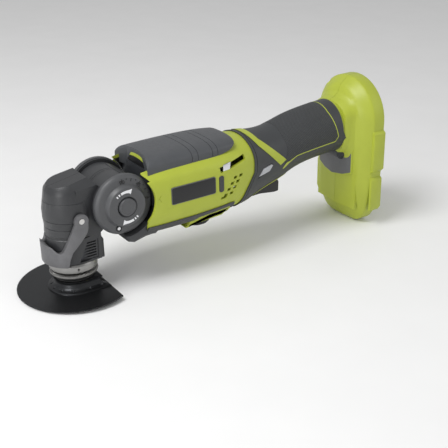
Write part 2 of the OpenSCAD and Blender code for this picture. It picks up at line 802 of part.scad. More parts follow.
module clamp_lever()
    color("gray")
        difference() {
            union() {
                intersection() {
                    z_ring(lever_out, lever_in, 15, 31);
                    side_profile([[-30, 20], [-30, 31], [-20, 30.6], [-12, 24], [-6, 28], [5, 28], [1, 16], [-18, 15]], -40, 40);
                }
                for (s = [-1, 1]) {
                    side_profile([[-12, 22], [-10.6, 28], [-5.2, 49.4], [5.2, 49.4], [4.4, 42], [-0.6, 28], [-2, 18], [-8, 17]],
                                 s < 0 ? -22.4 : 20.2, s < 0 ? -20.2 : 22.4);
                    y_rod(0, pin_z, lever_boss_r, s < 0 ? -22.4 : 20.2, s < 0 ? -20.2 : 22.4, 48);
                }
            }
            y_rod(0, pin_z, 2.1 + running, -30, 30, 48);
        }

module lever_pins()
    color(steel)
        for (s = [-1, 1]) {
            y_rod(0, pin_z, 1.55, s < 0 ? -20.3 : 15.5, s < 0 ? -15.5 : 20.3, 32);
            y_rod(0, pin_z, 2.1, s < 0 ? -23 : 19.9, s < 0 ? -19.9 : 23, 48);
        }

left_housing();
right_housing();
left_foot();
right_foot();
left_barrel_grip();
right_barrel_grip();
left_handle_grip();
right_handle_grip();
chin_guard();
dial_guard();
badge_plates();
housing_screws();
pivot_yoke();
motor_can();
motor_magnets();
motor_end_cap();
motor_brushes();
front_motor_bearing();
rear_motor_bearing();
drum_cover();
rotor_shaft();
rotor_core();
commutator();
motor_fan();
motor_pinion();
crown_gear();
crown_axle();
speed_board();
speed_dial();
switch_body();
trigger();
trigger_spring();
lock_button();
terminal_block();
battery_terminals();
left_head_cover();
right_head_cover();
left_scale_disc();
right_scale_disc();
disc_screws();
release_button();
release_spring();
gear_case();
spindle_bearings();
eccentric_shaft();
eccentric_pinion();
eccentric_bearing();
shaft_bearing();
nose_collar();
spindle();
rocker_fork();
clamp_flange();
clamp_bolt();
clamp_spring();
blade();
clamp_lever();
lever_pins();
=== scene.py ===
"""Looks of the cordless oscillating multi-tool: moulded shells, soft grips, head, lever and blade."""
import json
import math

import bpy
from mathutils import Matrix, Vector


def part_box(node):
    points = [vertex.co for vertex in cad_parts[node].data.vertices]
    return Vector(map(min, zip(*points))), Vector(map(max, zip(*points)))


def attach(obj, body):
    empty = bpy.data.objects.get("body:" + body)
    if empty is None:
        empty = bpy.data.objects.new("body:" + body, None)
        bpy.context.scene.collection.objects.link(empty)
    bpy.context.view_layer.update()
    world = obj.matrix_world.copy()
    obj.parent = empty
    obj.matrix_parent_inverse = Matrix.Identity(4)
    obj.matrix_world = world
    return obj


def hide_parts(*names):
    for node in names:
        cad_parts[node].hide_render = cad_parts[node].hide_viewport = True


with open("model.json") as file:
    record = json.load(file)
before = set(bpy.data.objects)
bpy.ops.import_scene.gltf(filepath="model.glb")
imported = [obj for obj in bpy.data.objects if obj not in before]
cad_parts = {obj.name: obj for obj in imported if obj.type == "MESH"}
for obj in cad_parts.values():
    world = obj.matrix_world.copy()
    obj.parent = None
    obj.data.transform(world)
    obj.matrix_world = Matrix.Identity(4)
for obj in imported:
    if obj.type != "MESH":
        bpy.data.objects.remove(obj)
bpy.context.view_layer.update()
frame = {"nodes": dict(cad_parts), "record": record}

MM = 0.001                      # pieces are shaped in millimetres and finished in metres
AXES = {"X": Vector((1, 0, 0)), "Y": Vector((0, 1, 0)), "Z": Vector((0, 0, 1))}


def span(node, axis):
    """Low and high end of a node along one axis, in millimetres."""
    low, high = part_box(node)
    return low[axis] / MM, high[axis] / MM


DISC_LOW, DISC_HIGH = span("left_scale_disc", 0)
TILT_X = (DISC_LOW + DISC_HIGH) / 2
DISC_R = (DISC_HIGH - DISC_LOW) / 2
AXIS_Z = sum(span("left_scale_disc", 2)) / 2
FOOT_REAR = span("left_foot", 0)[1]
FOOT_LOW, FOOT_TOP = span("left_foot", 2)

# ---- working tools -------------------------------------------------------------------------------


def focus(piece):
    """Selects one piece alone and makes it active."""
    bpy.ops.object.select_all(action="DESELECT")
    piece.select_set(True)
    bpy.context.view_layer.objects.active = piece
    return piece


def settle(piece):
    """Puts the object's place, turn and size into its mesh."""
    focus(piece)
    bpy.ops.object.transform_apply(location=True, rotation=True, scale=True)
    return piece


def new_piece(name):
    piece = bpy.context.object
    piece.name = name
    return settle(piece)


def block(low, high, name="block"):
    low, high = Vector(low), Vector(high)
    bpy.ops.mesh.primitive_cube_add(size=1, location=(low + high) / 2, scale=high - low)
    return new_piece(name)


def rod(axis, at, r, start, end, sides=64, r_end=None, name="rod"):
    """A cylinder or cone along an axis; at holds its centre on the other two axes."""
    centre = list(at)
    centre.insert("XYZ".index(axis), (start + end) / 2)
    turn = AXES["Z"].rotation_difference(AXES[axis]).to_euler()
    bpy.ops.mesh.primitive_cone_add(vertices=sides, radius1=r, radius2=r if r_end is None else r_end,
                                    depth=end - start, location=centre, rotation=turn)
    return new_piece(name)


def modify(piece, kind, **settings):
    """Adds a modifier with these settings and applies it."""
    focus(piece)
    modifier = piece.modifiers.new(kind.lower(), kind)
    for key, value in settings.items():
        setattr(modifier, key, value)
    bpy.ops.object.modifier_apply(modifier=modifier.name)
    return piece


def discard(piece):
    bpy.data.objects.remove(piece)


def carve(piece, *tools, how="DIFFERENCE"):
    """Cuts, joins or trims a piece with others, which are used up."""
    for tool in tools:
        modify(piece, "BOOLEAN", object=tool, operation=how, solver="MANIFOLD")
        discard(tool)
    return piece


def copy_of(piece, name):
    twin = piece.copy()
    twin.data = piece.data.copy()
    twin.name = name
    bpy.context.scene.collection.objects.link(twin)
    return twin


def join(first, *others):
    focus(first)
    for other in others:
        other.select_set(True)
    bpy.ops.object.join()
    return first


def mirrored(piece, name):
    """The same piece on the other side of the tool."""
    twin = copy_of(piece, name)
    twin.scale = (1, -1, 1)
    settle(twin)
    edit(twin)
    bpy.ops.mesh.select_all(action="SELECT")
    bpy.ops.mesh.normals_make_consistent(inside=False)
    bpy.ops.object.mode_set(mode="OBJECT")
    return twin


def edit(piece, mode="VERT"):
    focus(piece)
    bpy.ops.object.mode_set(mode="EDIT")
    bpy.ops.mesh.select_mode(type=mode)
    return piece


def leave():
    bpy.ops.object.mode_set(mode="OBJECT")


def pick(piece, test, kind="polygons"):
    """Selects the elements whose centre passes the test, and returns to edit mode."""
    leave()
    mesh = piece.data
    for group in (mesh.vertices, mesh.edges, mesh.polygons):
        group.foreach_set("select", [False] * len(group))
    for item in getattr(mesh, kind):
        if kind == "polygons":
            centre, facing = item.center, item.normal
        elif kind == "edges":
            ends = [mesh.vertices[i].co for i in item.vertices]
            centre, facing = (ends[0] + ends[1]) / 2, ends[1] - ends[0]
        else:
            centre, facing = item.co, item.normal
        item.select = bool(test(centre, facing))
    bpy.ops.object.mode_set(mode="EDIT")
    names = {"polygons": "FACE", "edges": "EDGE", "vertices": "VERT"}
    bpy.ops.mesh.select_mode(type=names[kind])


def trace(points, plane="XZ", name="outline"):
    """A chain of vertices through the points, drawn by extruding a single vertex."""
    def place(p):
        at = {"XZ": (p[0], 0, p[1]), "YZ": (0, p[0], p[1]), "XY": (p[0], p[1], 0)}
        return Vector(at[plane])
    bpy.ops.mesh.primitive_plane_add(size=0.01, location=place(points[0]))
    piece = new_piece(name)
    edit(piece)
    bpy.ops.mesh.select_all(action="SELECT")
    bpy.ops.mesh.merge(type="CENTER")
    for before, after in zip(points, points[1:]):
        step = place(after) - place(before)
        bpy.ops.mesh.extrude_vertices_move(TRANSFORM_OT_translate={"value": step})
    return piece


def prism(points, start, end, plane="XZ", corner=0, name="prism"):
    """A flat outline with its corners rounded, pulled from start to end across its plane."""
    piece = trace(points, plane, name)
    bpy.ops.mesh.select_all(action="SELECT")
    bpy.ops.mesh.edge_face_add()
    if corner:
        bpy.ops.mesh.bevel(offset=corner, offset_pct=0, segments=5, affect="VERTICES")
    across = AXES[next(a for a in "XYZ" if a not in plane)]
    bpy.ops.mesh.select_all(action="SELECT")
    bpy.ops.transform.translate(value=across * start)
    bpy.ops.mesh.extrude_region_move(TRANSFORM_OT_translate={"value": across * (end - start)})
    bpy.ops.mesh.select_all(action="SELECT")
    bpy.ops.mesh.normals_make_consistent(inside=False)
    leave()
    return piece


def turned(profile, steps=96, name="turned", at=(0, 0)):
    """A closed shape turned on a vertical axis; the profile runs from the axis back to the axis."""
    piece = trace(profile, "XZ", name)
    bpy.ops.mesh.select_all(action="SELECT")
    bpy.ops.mesh.spin(steps=steps, angle=2 * math.pi, center=(0, 0, 0), axis=(0, 0, 1))
    bpy.ops.mesh.select_all(action="SELECT")
    bpy.ops.mesh.remove_doubles(threshold=0.0005)
    bpy.ops.mesh.normals_make_consistent(inside=False)
    bpy.ops.transform.translate(value=(at[0], at[1], 0))
    leave()
    return piece


def lay_along_y(piece, side=-1):
    """Turns a piece made about the vertical axis so that its top faces left or right at the tilt axis."""
    piece.rotation_euler = (math.radians(-90 * side), 0, 0)
    piece.location = (TILT_X, 0, AXIS_Z)
    return settle(piece)


def corners(piece):
    """Low and high corner of the vertices that are selected in edit mode."""
    piece.update_from_editmode()
    chosen = [v.co for v in piece.data.vertices if v.select]
    return [Vector([end(c[i] for c in chosen) for i in range(3)]) for end in (min, max)]


def soften(piece, width, angle=35, segments=2):
    """Rounds the sharp edges of a piece."""
    return modify(piece, "BEVEL", width=width, segments=segments, limit_method="ANGLE",
                  angle_limit=math.radians(angle), miter_outer="MITER_ARC", use_clamp_overlap=True)


def finish(piece, body, material, replaces=(), angle=32, keep_scale=False):
    """Brings a shaped piece to metres, sets its shading and finish, and lets it ride on its body."""
    if not keep_scale:
        piece.scale = (MM, MM, MM)
        settle(piece)
    focus(piece)
    bpy.ops.object.shade_smooth_by_angle(angle=math.radians(angle))
    piece.data.materials.clear()
    piece.data.materials.append(material)
    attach(piece, body)
    if replaces:
        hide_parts(*replaces)
    return piece

# ---- finishes ------------------------------------------------------------------------------------


class Value:
    """A socket of a material's nodes that takes part in Python expressions."""

    def __init__(self, shader, socket):
        self.shader = shader
        self.socket = socket

    def math(self, operation, *others, swap=False):
        values = (*others, self) if swap else (self, *others)
        return self.shader.node("ShaderNodeMath", {"operation": operation}, *values)

    def __add__(self, other):
        return self.math("ADD", other)

    def __sub__(self, other):
        return self.math("SUBTRACT", other)

    def __rsub__(self, other):
        return self.math("SUBTRACT", other, swap=True)

    def __mul__(self, other):
        return self.math("MULTIPLY", other)

    def __truediv__(self, other):
        return self.math("DIVIDE", other)

    def __pow__(self, other):
        return self.math("POWER", other)

    __radd__ = __add__
    __rmul__ = __mul__

    def sin(self):
        return self.math("SINE")

    def above(self, low, high):
        """0 under low and 1 over high, with a straight slope between."""
        return self.shader.node("ShaderNodeMapRange", {"clamp": True}, self, low, high, 0.0, 1.0)


def linear(r, g, b):
    """A screen colour, 0 to 255, as the light values that a shader takes."""
    def channel(c):
        c = c / 255
        return c / 12.92 if c <= 0.04045 else ((c + 0.055) / 1.055) ** 2.4
    return (channel(r), channel(g), channel(b), 1)


class Shader:
    """A material under construction."""

    def __init__(self, name, **fixed):
        self.material = bpy.data.materials.new(name)
        self.material.use_nodes = True
        self.tree = self.material.node_tree
        self.surface = self.tree.nodes["Principled BSDF"]
        for key, value in fixed.items():
            self.surface.inputs[key.replace("_", " ").title().replace("Ior", "IOR")].default_value = value
        self.place = self.node("ShaderNodeTexCoord", out="Object")

    def node(self, kind, settings=None, *values, out=0, **named):
        """Adds a node: its settings first, then the values or links of its sockets, in order or by name."""
        made = self.tree.nodes.new(kind)
        for key, value in (settings or {}).items():
            if key == "stops":
                ramp = made.color_ramp
                for i, (position, colour) in enumerate(value):
                    stop = ramp.elements[i] if i < 2 else ramp.elements.new(position)
                    stop.position = position
                    stop.color = colour
            else:
                setattr(made, key, value)
        pairs = list(enumerate(values)) + [(k.replace("_", " "), v) for k, v in named.items()]
        for key, value in pairs:
            if isinstance(value, Value):
                self.tree.links.new(value.socket, made.inputs[key])
            else:
                made.inputs[key].default_value = value
        return Value(self, made.outputs[out])

    def axis(self, letter):
        """One coordinate of the surface point, in millimetres."""
        return self.node("ShaderNodeSeparateXYZ", None, self.place, out=letter) * 1000

    def noise(self, grain_mm, detail=3.0, roughness=0.55, stretch=None):
        """Noise with this grain, 0 to 1."""
        place = self.place
        if stretch:
            place = self.node("ShaderNodeMapping", None, self.place, Scale=stretch)
        return self.node("ShaderNodeTexNoise", None, place, Scale=1 / (grain_mm * MM), Detail=detail,
                         Roughness=roughness, out="Fac")

    def mix(self, mask, first, second):
        """first where the mask is 0 and second where it is 1."""
        made = self.tree.nodes.new("ShaderNodeMix")
        made.data_type = "RGBA"
        for name, value in (("Factor_Float", mask), ("A_Color", first), ("B_Color", second)):
            socket = next(s for s in made.inputs if s.identifier == name)
            if isinstance(value, Value):
                self.tree.links.new(value.socket, socket)
            else:
                socket.default_value = value
        return Value(self, next(s for s in made.outputs if s.identifier == "Result_Color"))

    def feed(self, name, value):
        self.tree.links.new(value.socket, self.surface.inputs[name])
        return self

    def bump(self, height, depth_mm, strength=1.0):
        """Relief from a height of 0 to 1."""
        normal = self.node("ShaderNodeBump", None, Strength=strength, Distance=depth_mm * MM, Height=height,
                           out="Normal")
        return self.feed("Normal", normal)


def moulded(name, colour, rough=0.42, grain=0.35, depth=0.03, tint=0.06, spec=0.5):
    """Moulded plastic: fine spark-eroded grain, faint flow marks in colour and gloss."""
    s = Shader(name, specular_ior_level=spec)
    dark = tuple(c * (1 - tint) for c in colour[:3]) + (1,)
    light = tuple(min(1, c * (1 + tint)) for c in colour[:3]) + (1,)
    cloud = s.noise(14, 4)
    s.feed("Base Color", s.mix(cloud, dark, light))
    smear = s.noise(5, 3)
    s.feed("Roughness", smear * 0.12 + (rough - 0.06))
    s.bump(s.noise(grain, 2), depth)
    return s.material


def soft_rubber(name, colour, rough=0.55, grain=0.5, depth=0.05):
    s = Shader(name, specular_ior_level=0.45)
    cloud = s.noise(9, 4)
    dark = tuple(c * 0.88 for c in colour[:3]) + (1,)
    light = tuple(c * 1.15 for c in colour[:3]) + (1,)
    s.feed("Base Color", s.mix(cloud, dark, light))
    s.feed("Roughness", s.noise(3, 3) * 0.16 + (rough - 0.08))
    s.bump(s.noise(grain, 3), depth)
    return s.material


def dotted_rubber(name, colour):
    """Palm panel: rows of small raised dots that follow the handle round, the dots painted lighter and the
    gaps between them painted darker as shade.
    """
    s = Shader(name, specular_ior_level=0.45)
    pitch = 1.5
    handle_r = 21.0
    across = s.axis("Y")
    up = s.axis("Z") - (s.axis("X") - 188) * 0.175 - (AXIS_Z + 3)
    along = s.axis("X") * (math.tau / pitch)
    round_it = up.math("ARCTAN2", across) * (math.tau * handle_r / pitch)
    dots = (along.sin() * round_it.sin()).above(-0.15, 0.75)
    cloud = s.noise(8, 3)
    # painted light: the raised dots are painted lighter and the gaps between them darker, as highlight on
    # their tops and shade in the hollows
    low = tuple(c * 0.55 for c in colour[:3]) + (1,)
    high = tuple(c * 1.3 for c in colour[:3]) + (1,)
    s.feed("Base Color", s.mix(dots * 0.8 + cloud * 0.2, low, high))
    s.feed("Roughness", 0.68 - dots * 0.14)
    s.bump(dots + s.noise(0.4, 2) * 0.2, 0.28)
    return s.material


def metal(name, colour, rough, metallic=1.0, grain=0.25, depth=0.01, stretch=None, tint=0.1):
    """Bare metal with machining or rolling marks; stretch draws the marks out along an axis."""
    s = Shader(name, metallic=metallic)
    cloud = s.noise(6, 3)
    dark = tuple(c * (1 - tint) for c in colour[:3]) + (1,)
    light = tuple(min(1, c * (1 + tint)) for c in colour[:3]) + (1,)
    s.feed("Base Color", s.mix(cloud, dark, light))
    marks = s.noise(grain, 3, stretch=stretch)
    s.feed("Roughness", marks * 0.14 + (rough - 0.07))
    s.bump(marks, depth)
    return s.material


LIME = linear(170, 181, 58)
finish_lime = moulded("lime_nylon", LIME, rough=0.40, grain=0.45, depth=0.02)
finish_skin = soft_rubber("soft_skin", linear(58, 60, 62), rough=0.46)
# painted sheen: the barrel's top grip gets this lighter copy of the soft skin's rubber, standing in for the
# light on its top
finish_pad_painted_sheen = soft_rubber("soft_pad_painted_sheen", linear(74, 76, 79), rough=0.42)
finish_palm = dotted_rubber("palm_dots", linear(68, 70, 72))
finish_dark = moulded("dark_nylon", linear(56, 57, 59), rough=0.4, grain=0.6, depth=0.05)
finish_disc = moulded("disc_nylon", linear(78, 79, 81), rough=0.42, grain=0.5, depth=0.03)
finish_head = moulded("head_nylon", linear(50, 51, 53), rough=0.38, grain=0.7, depth=0.06)
finish_black = moulded("black_nylon", linear(24, 24, 26), rough=0.38, grain=0.5, depth=0.03)
finish_apron = moulded("grey_nylon", linear(96, 97, 99), rough=0.5, grain=0.5, depth=0.05, tint=0.1)
finish_silver = moulded("silver_nylon", linear(176, 178, 182), rough=0.35, grain=0.4, depth=0.02)
finish_white = moulded("white_print", linear(235, 236, 238), rough=0.5, grain=0.3, depth=0.01, tint=0.02)
finish_cast = metal("cast_steel", linear(116, 116, 118), 0.5, metallic=0.75, grain=0.7, depth=0.09, tint=0.18)
finish_steel = metal("turned_steel", linear(205, 204, 202), 0.26, grain=0.5, depth=0.01, stretch=(1, 1, 12))
finish_collar = metal("turned_collar", linear(150, 149, 147), 0.3, grain=0.5, depth=0.01, stretch=(1, 1, 12))
finish_pin = metal("bright_pin", linear(220, 220, 222), 0.25)
finish_blade = metal("black_steel", linear(58, 59, 61), 0.36, metallic=0.85, grain=0.4, depth=0.01)
finish_can = metal("plated_can", linear(225, 226, 230), 0.2)
finish_alloy = metal("painted_casting", linear(62, 64, 68), 0.5, metallic=0.3, grain=0.8, depth=0.08)
finish_copper = metal("copper", linear(200, 118, 70), 0.35, grain=0.6, depth=0.05)
finish_brass = metal("brass", linear(210, 175, 95), 0.3)


def knurled(name, colour):
    """Turned ring with fine upright knurls, the grooves between them painted darker as shade."""
    s = Shader(name, metallic=1.0, roughness=0.34)
    turn = s.axis("Y").math("ARCTAN2", s.axis("X"))
    ribs = (turn * 110).sin() * 0.5 + 0.5
    # painted shade: the colour darkens in the knurl grooves, where the bump sinks them
    dark = tuple(c * 0.6 for c in colour[:3]) + (1,)
    s.feed("Base Color", s.mix(ribs, dark, colour))
    s.bump(ribs, 0.15)
    return s.material


finish_knurl = knurled("knurled_steel", linear(140, 139, 137))
finish_carbon = metal("carbon", linear(45, 45, 47), 0.6, metallic=0.2)
finish_board = moulded("board_green", linear(30, 92, 48), rough=0.35)

# ---- barrel, neck and handle ---------------------------------------------------------------------

BARREL = [              # x, half width, low, high and how much rounder than the one before
    (50, 31.2, 25.6, 81.6, 0), (61, 32.2, 24.8, 83, 0), (90, 32.6, 24.8, 83.6, 0), (120, 32.2, 25.2, 83.2, 0),
    (137, 30, 26.4, 82.2, 0.1), (149, 27.2, 27.6, 81.2, 0.25), (162, 24.2, 29.6, 79.6, 0.4),
    (175, 22, 31.4, 78.6, 0.5), (188, 20.8, 34.8, 80.8, 0.5), (199, 20.2, 39.2, 84.3, 0.3),
    (212, 20.2, 42.6, 87, 0), (232, 20.6, 44.8, 89, 0), (257, 21.4, 45.4, 90.8, 0),
]
SECTION = [             # half of the barrel's section, as shares of its half width and half height
    (0, 1), (0.3, 0.985), (0.58, 0.9), (0.8, 0.76), (0.94, 0.57), (1, 0.3), (1, 0), (1, -0.36), (0.95, -0.66),
    (0.86, -0.84), (0.6, -0.97), (0.3, -1), (0, -1),
]
# corners of the section that stay crisp along the barrel
RIDGES = ((0.94, 0.57), (1, -0.36), (0.95, -0.66))
RIDGE_END = 140
WALL = 2.4
SKIN = 1.1              # how far the soft skin stands proud of the shell
LIP_R = 22.4            # front edge of the side walls, round the tilt axis
POCKET_R = 24.7         # front pocket behind the discs
FAR = 60                # past both sides of the tool


def sweep(stations, shape, grow=0, smooth=2, name="sweep"):
    """A closed body through the stations: its section is pulled along X and brought to each one's size."""
    ring = shape + [(-y, z) for y, z in shape[-2:0:-1]]
    piece = trace([(y, z) for y, z in ring], "YZ", name)
    bpy.ops.mesh.select_all(action="SELECT")
    bpy.ops.mesh.edge_face_add()
    for i, (x, half, low, high, rounding) in enumerate(stations):
        if i:
            bpy.ops.mesh.extrude_region_move(TRANSFORM_OT_translate={"value": (1, 0, 0)})
        if rounding:
            bpy.ops.transform.tosphere(value=rounding)
        a, b = corners(piece)
        middle = (a + b) / 2
        scale = (1, 2 * (half + grow) / (b.y - a.y), (high - low + 2 * grow) / (b.z - a.z))
        bpy.ops.transform.resize(value=scale, center_override=middle)
        bpy.ops.transform.translate(value=(x - middle.x, -middle.y, (low + high) / 2 - middle.z))
    bpy.ops.mesh.select_all(action="SELECT")
    bpy.ops.mesh.normals_make_consistent(inside=False)
    ends = (stations[0][0], stations[-1][0])
    pick(piece, lambda c, d: any(abs(c.x - e) < 0.01 for e in ends) and abs(d.x) < 0.01, "edges")
    bpy.ops.transform.edge_crease(value=1)
    leave()
    if smooth:
        modify(piece, "SUBSURF", levels=smooth, render_levels=smooth)
    return piece


def barrel_body(grow=0, name="barrel_body", front=BARREL[0][0]):
    """The shell's outer form; its ridges stay crisp as far as the neck."""
    piece = sweep([(front,) + BARREL[0][1:]] + BARREL[1:], SECTION, grow, 0, name)
    middle = (BARREL[2][2] + BARREL[2][3]) / 2
    half_high = (BARREL[2][3] - BARREL[2][2]) / 2

    def on_ridge(centre, along):
        if abs(along.x) < 5 or centre.x > RIDGE_END:
            return False
        share_y = abs(centre.y) / (BARREL[2][1] + grow)
        share_z = (centre.z - middle) / (half_high + grow)
        return any(abs(share_y - y) < 0.04 and abs(share_z - z) < 0.05 for y, z in RIDGES)
    edit(piece)
    pick(piece, on_ridge, "edges")
    bpy.ops.transform.edge_crease(value=0.85)
    leave()
    return modify(piece, "SUBSURF", levels=2, render_levels=2)


def foot_ring(half, low, high, steps=44):
    """Outline of the battery foot: a round top, straight sides and cut-off lower corners."""
    middle = high - half
    points = []
    for i in range(steps):
        angle = math.tau * i / steps
        y, z = math.cos(angle), math.sin(angle)
        power = 1 if z >= 0 else 0.42
        depth = half if z >= 0 else middle - low
        points.append((half * math.copysign(abs(y) ** power, y),
                       middle + depth * math.copysign(abs(z) ** (power ** 0.5), z)))
    return points


FOOT = [                # x, half width, low, high of each outline, from the rim forwards
    (FOOT_REAR, 35.6, FOOT_LOW, FOOT_TOP), (269.5, 35.6, FOOT_LOW, FOOT_TOP), (267.8, 34.4, -21.4, 107),
    (264.2, 31.0, -16.0, 104.2), (261.8, 28.6, -11.3, 102.4), (260.4, 26.6, -8.8, 100.6),
    (258.6, 23.9, 33, 95.6), (254.5, 22.1, 43, 92.1), (249, 21.3, 45, 90.2),
]


def foot_body(name="foot_body"):
    """Battery foot: rim, bevelled bands and plateau, flaring into the handle."""
    piece = trace(foot_ring(*FOOT[0][1:]), "YZ", name)
    bpy.ops.mesh.select_all(action="SELECT")
    bpy.ops.mesh.edge_face_add()
    bpy.ops.transform.translate(value=(FOOT_REAR, 0, 0))
    for (x0, *_), (x, half, low, high) in zip(FOOT, FOOT[1:]):
        bpy.ops.mesh.extrude_region_move(TRANSFORM_OT_translate={"value": (x - x0, 0, 0)})
        a, b = corners(piece)
        middle = (a + b) / 2
        scale = (1, 2 * half / (b.y - a.y), (high - low) / (b.z - a.z))
        bpy.ops.transform.resize(value=scale, center_override=middle)
        bpy.ops.transform.translate(value=(0, 0, (low + high) / 2 - middle.z))
    bpy.ops.mesh.select_all(action="SELECT")
    bpy.ops.mesh.normals_make_consistent(inside=False)
    leave()
    return soften(piece, 0.7, angle=20)


SIDE = 32.6             # distance of the barrel's flat sides from the middle
BADGE = (69.5, 109.2, 49, 63)
REAR_LINE = [(151, 100), (150, 78), (150.6, 65), (149.6, 55), (142, 44), (137, 35), (133.2, 28.6), (131, 16)]
SKIN_END = [(266, 16), (266, 54), (259.7, 54), (250.5, 61.4), (247.4, 67.4), (246.4, 77), (246, 100)]
SLASH = [(148, 92), (158.6, 73.6), (179.4, 53), (185.6, 56.4), (162, 77.4), (155, 92)]
BUTTON = [(153.4, 48.3), (159.4, 55.5), (170.4, 56.9), (166.4, 51.3)]
PALM = [(186.6, 100), (185.6, 76), (188, 66), (187, 60), (184.4, 53.6), (189.5, 53.4), (198, 56.8),
        (239, 60.3),
        (241.4, 64.4), (235, 85.3), (235, 100)]
PALM_BEAD = [(200, 100), (200, 60), (186, 52.6), (182.6, 48.8), (184, 48.2), (190.2, 52.2), (198, 55.9),
             (239.4, 59.4),
             (242.3, 64.2), (235.9, 85.4), (235.9, 100)]
WELL = [(149, 10), (152, 31.4), (158, 34.2), (190.5, 38.4), (190.5, 10)]
WELL_LINE = [(133.6, 25.4), (146, 31.4), (158, 35.4), (187, 40.4), (192, 40.2), (192.6, 36.8), (189, 35.6),
             (189, 20),
             (150, 20)]


def both_sides(points, start, end, corner=0.0, name="cut"):
    """The same prism on the two sides, from start to end away from the middle."""
    left = prism(points, -end, -start, corner=corner, name=name)
    return left, mirrored(left, name)


def box_outline(x0, x1, z0, z1):
    return [(x0, z0), (x1, z0), (x1, z1), (x0, z1)]


def recess(points, depth, corner=0.8):
    return both_sides(points, SIDE - depth, FAR, corner)


def through(points, corner=0.0):
    return prism(points, -FAR, FAR, corner=corner)


def vent_outlines():
    """The slanted cooling slots behind the badge."""
    window = [(114, 68.2), (114.8, 63.6), (141, 67.9), (140.4, 72.3)]
    slot = [(113.6, 42.2), (119.4, 42.6), (120.4, 44.4), (114.6, 44)]
    outlines = [window, slot]
    for row in range(4):
        for column in range(2):
            x = 134.4 - 3.3 * row - 5.7 * column
            z = 57.4 - 4.1 * row - 0.4 * column
            outlines.append([(x - 2.1, z - 1.1), (x + 1.3, z - 1.1), (x + 2.2, z + 1.1), (x - 1.2, z + 1.1)])
    return outlines


def front_pocket(extra=0.0):
    """Room for the discs, the drum and the head's top as it swings up."""
    discs = rod("Y", (TILT_X, AXIS_Z), POCKET_R + extra, -28.8, 28.8, 128)
    lips = rod("Y", (TILT_X, AXIS_Z), LIP_R + extra, -FAR, FAR, 128)
    swing = prism([(30, 60), (58.4, 60), (58.4, 76), (61, 95), (30, 95)], -22, 22)
    return discs, lips, swing


def make_shell():
    """The two lime clamshell halves."""
    shell = barrel_body(name="housing_shell")
    inside = barrel_body(-WALL, "inside", front=40)
    carve(inside, block((40, -FAR, -FAR), (229, FAR, 2 * FAR)), how="INTERSECT")
    carve(shell, foot_body(), how="UNION")
    for points in ([(34, 67), (38, 64), (38, 31), (34, 27)], [(34, 24), (36.7, 21.6), (36.7, -5), (34, -9)]):
        pad = soften(prism(points, 268.5, FOOT_REAR, "YZ"), 0.7)
        other = mirrored(pad, "pad")
        carve(shell, pad, other, how="UNION")
    # upright crease down the middle of the foot's front
    carve(shell, prism([(263, -25), (260.6, -25), (258.8, 0), (260.6, 25), (263, 25)], -7.4, 40, "XY"),
          how="UNION")
    carve(shell, inside)
    bay = prism(foot_ring(32.2, FOOT_LOW + 3.4, FOOT_TOP - 3.4), 275, 290, "YZ")
    carve(shell, bay, block((232, -12, 56), (290, 12, 80)), block((226, -9.2, 58.8), (233, 9.2, 77.2)))
    carve(shell, *front_pocket(0.2))
    carve(shell, rod("Z", (109, 0), 12.8, 5, 35))
    carve(shell, prism(WELL, -9.4, 9.4), through(BUTTON))
    for points in vent_outlines():
        carve(shell, through(points, 0.3))
    marks = [
        (box_outline(*BADGE), 0.9, 1.6),
        (box_outline(112.3, 117.2, 48.3, 62.2), 0.7, 1.9),
        ([(40, 45), (62.2, 45), (62.8, 46.2), (62.8, 64.8), (62.2, 66), (40, 66)], 0.55, 0.5),
        ([(72, 65.4), (66.2, 65.4), (65.2, 64.4), (65.2, 47.6), (66.2, 46.6), (72, 46.6), (72, 47.4),
          (66.6, 47.4),
          (66.1, 48), (66.1, 64), (66.6, 64.6), (72, 64.6)], 0.5, 0),
        ([(58.2, 56.5), (61, 59.2), (61.5, 58.7), (59.3, 56.5), (61.5, 54.3), (61, 53.8)], 1.0, 0),
        ([(139.6, 66), (147.2, 67.6), (146.6, 77.4), (139.2, 75.2)], 0.8, 1.0),
    ]
    for points, depth, corner in marks:
        carve(shell, *recess(points, depth, corner))
    for x, z in SCREWS:
        carve(shell, rod("Y", (x, z), 3.1, 13, FAR, 32))
    return shell


SCREWS = [(66.5, 77.4), (67, 31.6), (134, 76.4), (139.5, 33.4), (174, 70.5), (214, 57), (268, 97), (268, -12)]
SEAM = 0.1              # half of the hair gap between left and right mouldings


def halves(piece, names, body, material, nodes=((), ())):
    """Parts a piece at the middle into its left and right mouldings."""
    twin = copy_of(piece, names[1])
    piece.name = names[0]
    carve(piece, block((-100, -100, -100), (400, -SEAM, 200)), how="INTERSECT")
    carve(twin, block((-100, SEAM, -100), (400, 100, 200)), how="INTERSECT")
    finish(piece, body, material, nodes[0])
    finish(twin, body, material, nodes[1])


def patch(grow, outline, *cuts, corner=0.0, name="patch", depth=1.0):
    """A skin over the shell inside a side-view outline, sunk a little into the shell under it."""
    piece = barrel_body(grow, name)
    carve(piece, through(outline, corner), how="INTERSECT")
    carve(piece, barrel_body(-depth, "core", front=40), *cuts)
    return piece


def make_bars():
    """Lime parts that stand through the skin: slanted bar, the trigger's line and the palm's bead."""
    bar = patch(SKIN + 0.5, SLASH, name="slash_bar")
    soften(bar, 0.5)
    finish(bar, "housing", finish_lime)
    line = patch(SKIN + 0.35, WELL_LINE, through(WELL), name="trigger_line")
    finish(line, "housing", finish_lime)
    bead = patch(SKIN + 0.15, PALM_BEAD, name="palm_bead")
    finish(bead, "housing", finish_lime)


